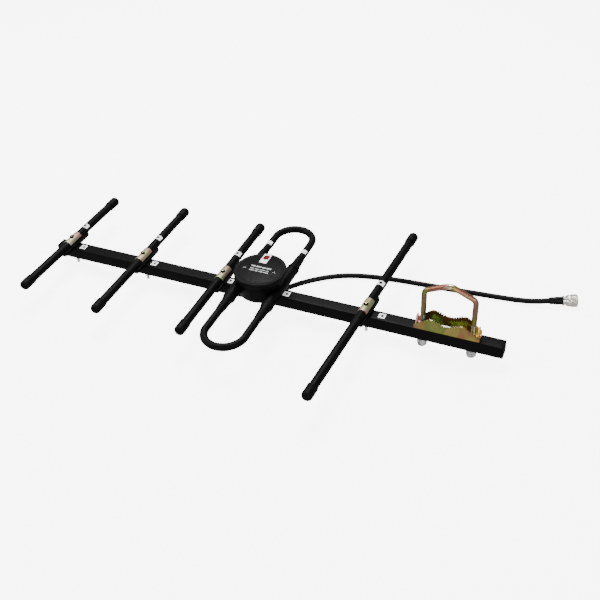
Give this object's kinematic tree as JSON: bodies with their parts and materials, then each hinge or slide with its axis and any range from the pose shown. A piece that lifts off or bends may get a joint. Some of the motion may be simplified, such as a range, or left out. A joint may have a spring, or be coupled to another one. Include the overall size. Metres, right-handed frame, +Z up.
{
  "type": "yagi antenna",
  "caption": "Short UHF Yagi antenna: square boom, black rod elements on single-screw holders, boxed folded dipole with a coaxial tail, toothed U-bolt mast clamp.",
  "frame": {"origin": "middle of the bounding box without the cable and its connector, at the height of the U-bolt's lower leg ends", "axes": "+X along the boom towards its clamp end, so the antenna points along -X; +Y across the boom towards the cable's side; +Z up, from the boom towards the elements"},
  "size_m": [0.6913, 0.3294, 0.0995],
  "materials": {
    "boom_black": "black coated aluminium tube, satin",
    "plastic_black": "moulded black nylon",
    "rubber_black": "moulded black rubber",
    "housing_black": "moulded black weatherproof plastic",
    "zinc_yellow": "steel with iridescent yellow zinc plating",
    "steel_bright": "bright zinc plated steel",
    "cable_black": "black PVC cable jacket",
    "nickel": "nickel plated brass",
    "ptfe_white": "white fluoropolymer insulator and its contact",
    "board_green": "glass-fibre circuit board",
    "copper": "copper"
  },
  "bodies": {
    "boom": {"director_1_screw": "steel_bright", "director_1_nut": "steel_bright", "director_2_screw": "steel_bright", "director_2_nut": "steel_bright", "director_3_screw": "steel_bright", "director_3_nut": "steel_bright", "reflector_screw": "steel_bright", "reflector_nut": "steel_bright", "boom_tube": "boom_black", "boom_plug_front": "plastic_black", "boom_plug_rear": "plastic_black", "dipole_half_left": "boom_black", "dipole_half_right": "boom_black", "boot_left_front": "rubber_black", "boot_left_rear": "rubber_black", "boot_right_front": "rubber_black", "boot_right_rear": "rubber_black", "housing_base": "housing_black", "housing_lid": "housing_black", "lid_gasket": "rubber_black", "feed_board": "board_green", "joining_link": "copper", "housing_screw_1": "steel_bright", "housing_screw_2": "steel_bright", "cable_gland": "rubber_black", "coax_cable": "cable_black", "cable_sleeve": "rubber_black", "connector_body": "nickel", "connector_insert": "ptfe_white", "clamp_saddle": "zinc_yellow", "clamp_washer_front": "steel_bright", "clamp_washer_rear": "steel_bright"},
    "director_1": {"director_1_rod": "boom_black", "director_1_cap_left": "rubber_black", "director_1_cap_right": "rubber_black", "director_1_holder": "plastic_black", "director_1_strap": "zinc_yellow"},
    "director_2": {"director_2_rod": "boom_black", "director_2_cap_left": "rubber_black", "director_2_cap_right": "rubber_black", "director_2_holder": "plastic_black", "director_2_strap": "zinc_yellow"},
    "director_3": {"director_3_rod": "boom_black", "director_3_cap_left": "rubber_black", "director_3_cap_right": "rubber_black", "director_3_holder": "plastic_black", "director_3_strap": "zinc_yellow"},
    "reflector": {"reflector_rod": "boom_black", "reflector_cap_left": "rubber_black", "reflector_cap_right": "rubber_black", "reflector_holder": "plastic_black", "reflector_strap": "zinc_yellow"},
    "u_bolt": {"u_bolt": "zinc_yellow"},
    "clamp_nut_front": {"clamp_nut_front": "steel_bright"},
    "clamp_nut_rear": {"clamp_nut_rear": "steel_bright"}
  },
  "joints": [
    {"name": "director_1_swivel", "type": "hinge", "parent": "boom", "child": "director_1", "pos_m": [-0.29, 0, 0.0376], "axis": [0, 0, 1], "range_deg": [-25, 25]},
    {"name": "director_2_swivel", "type": "hinge", "parent": "boom", "child": "director_2", "pos_m": [-0.1735, 0, 0.0376], "axis": [0, 0, 1], "range_deg": [-25, 25]},
    {"name": "director_3_swivel", "type": "hinge", "parent": "boom", "child": "director_3", "pos_m": [-0.052, 0, 0.0376], "axis": [0, 0, 1], "range_deg": [-9, 9]},
    {"name": "reflector_swivel", "type": "hinge", "parent": "boom", "child": "reflector", "pos_m": [0.1442, 0, 0.0376], "axis": [0, 0, 1], "range_deg": [-35.5, 42.5]},
    {"name": "u_bolt_slide", "type": "slide", "parent": "boom", "child": "u_bolt", "axis": [0, 0, 1], "range_m": [-0.03, 0]},
    {"name": "clamp_nut_front_turn", "type": "hinge", "parent": "boom", "child": "clamp_nut_front", "pos_m": [0.2154, 0, 0.0075], "axis": [0, 0, 1], "range_deg": [0, 10800]},
    {"name": "clamp_nut_rear_turn", "type": "hinge", "parent": "boom", "child": "clamp_nut_rear", "pos_m": [0.2754, 0, 0.0075], "axis": [0, 0, 1], "range_deg": [0, 10800]}
  ],
  "couplings": [
    {"joint": "clamp_nut_front_turn", "follows": "u_bolt_slide", "rad_per_m": -6283.2},
    {"joint": "clamp_nut_rear_turn", "follows": "u_bolt_slide", "rad_per_m": -6283.2}
  ]
}
